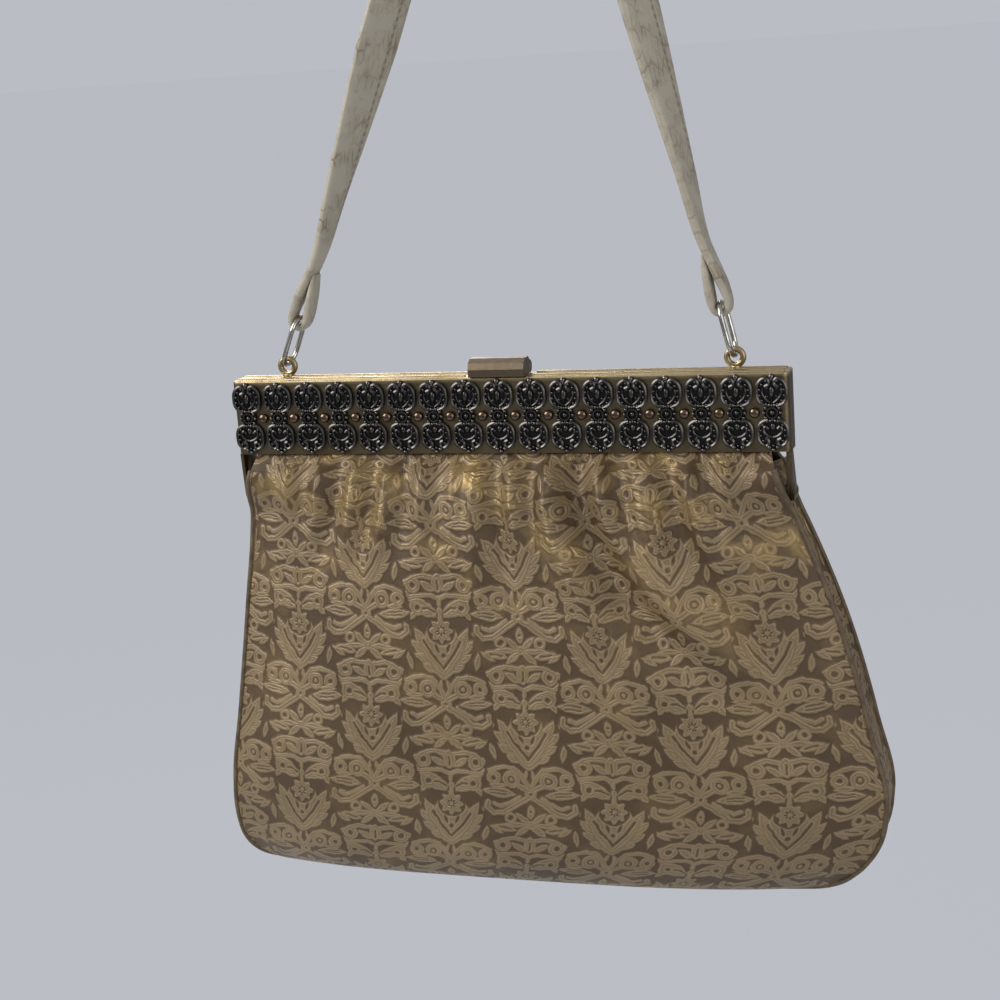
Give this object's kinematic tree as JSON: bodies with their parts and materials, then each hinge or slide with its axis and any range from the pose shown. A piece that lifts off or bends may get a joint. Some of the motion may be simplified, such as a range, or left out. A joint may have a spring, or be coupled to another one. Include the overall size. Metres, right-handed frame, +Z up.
{
  "type": "evening bag",
  "caption": "Leather evening bag on a hinged brass frame with a dark filigree band, a lift clasp and a strap handle on wire links",
  "frame": {"origin": "the middle of the bag's base", "axes": "+Z up, along the bag's height; +X to the right along the frame; +Y to the back"},
  "size_m": [0.221, 0.048, 0.3331],
  "materials": {
    "frame_brass": "polished brass, worn",
    "dark_filigree": "blackened metal with bright edges",
    "link_steel": "bright wire",
    "strap_leather": "pale metallic leather, creased",
    "bag_leather": "bronze leather with a tooled damask",
    "lining_cloth": "satin lining"
  },
  "bodies": {
    "handle": {"strap": "strap_leather"},
    "left_ring": {"left_link": "link_steel"},
    "right_ring": {"right_link": "link_steel"},
    "bag": {"rear_frame": "frame_brass", "left_hinge_rivet": "frame_brass", "right_hinge_rivet": "frame_brass", "clasp_lug": "frame_brass", "clasp_pin": "frame_brass", "left_eyelet": "frame_brass", "right_eyelet": "frame_brass", "front_panel": "bag_leather", "back_panel": "bag_leather", "left_gusset": "bag_leather", "right_gusset": "bag_leather", "lining": "lining_cloth"},
    "front_half": {"front_frame": "frame_brass", "filigree_band": "dark_filigree", "filigree_beads": "dark_filigree"},
    "clasp": {"clasp_lever": "frame_brass"}
  },
  "joints": [
    {"name": "left_ring_swing", "type": "hinge", "parent": "handle", "child": "left_ring", "pos_m": [-0.06854, 0.00258, 0.18292], "axis": [1, 0, 0], "range_deg": [-30, 30]},
    {"name": "right_ring_swing", "type": "hinge", "parent": "handle", "child": "right_ring", "pos_m": [0.07041, 0.00258, 0.18351], "axis": [1, 0, 0], "range_deg": [-30, 30]},
    {"name": "bag_swing", "type": "hinge", "parent": "left_ring", "child": "bag", "pos_m": [-0.07121, 0.00258, 0.17644], "axis": [1, 0, 0], "range_deg": [-30, 30]},
    {"name": "frame_open", "type": "hinge", "parent": "bag", "child": "front_half", "pos_m": [0, 0, 0.131], "axis": [1, 0, 0], "range_deg": [0, 50], "deforming": ["front_panel"]},
    {"name": "clasp_lift", "type": "hinge", "parent": "bag", "child": "clasp", "pos_m": [0, 0.0015, 0.1702], "axis": [-1, 0, 0], "range_deg": [0, 65]}
  ],
  "couplings": [
    {"joint": "right_ring_swing", "follows": "left_ring_swing", "ratio": 1}
  ]
}
